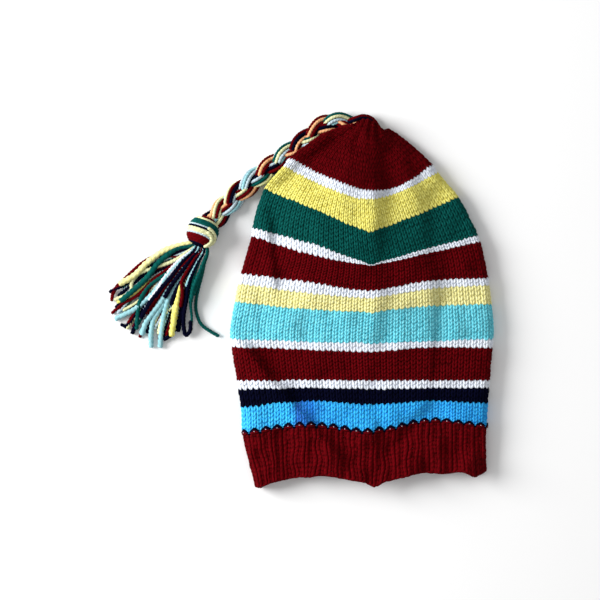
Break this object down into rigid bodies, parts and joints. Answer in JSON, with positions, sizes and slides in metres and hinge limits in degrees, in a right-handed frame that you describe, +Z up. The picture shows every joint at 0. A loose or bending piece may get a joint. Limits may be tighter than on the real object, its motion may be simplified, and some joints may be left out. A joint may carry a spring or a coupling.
{
  "type": "knitted beanie with plaited tassel",
  "caption": "Slouchy hand-knitted striped beanie lying flat, with a ribbed brim, a gathered crown and a plaited cord that ends in a knot and a tassel.",
  "frame": {"origin": "middle of the flat-lying hat without its plait and tassel, on the surface that it lies on", "axes": "+Z up from the surface through the front of the hat, +Y from the brim's hem to the peak, +X to the wearer's left side of the front"},
  "size_m": [0.3394, 0.3289, 0.0252],
  "materials": {
    "yarn_maroon": "knitted acrylic yarn, soft and matt",
    "yarn_white": "knitted acrylic yarn, soft and matt",
    "yarn_yellow": "knitted acrylic yarn, soft and matt",
    "yarn_pale_yellow": "knitted acrylic yarn, soft and matt",
    "yarn_green": "knitted acrylic yarn, soft and matt",
    "yarn_turquoise": "knitted acrylic yarn, soft and matt",
    "yarn_navy": "knitted acrylic yarn, soft and matt",
    "yarn_blue": "knitted acrylic yarn, soft and matt",
    "yarn_mixed": "strands of seven yarn colours, plaited and cut"
  },
  "bodies": {
    "root": {"ribbed_brim": "yarn_maroon", "striped_body": "yarn_turquoise", "gathered_crown": "yarn_maroon", "plait": "yarn_mixed", "plait_knot": "yarn_mixed", "tassel": "yarn_mixed"}
  },
  "joints": []
}
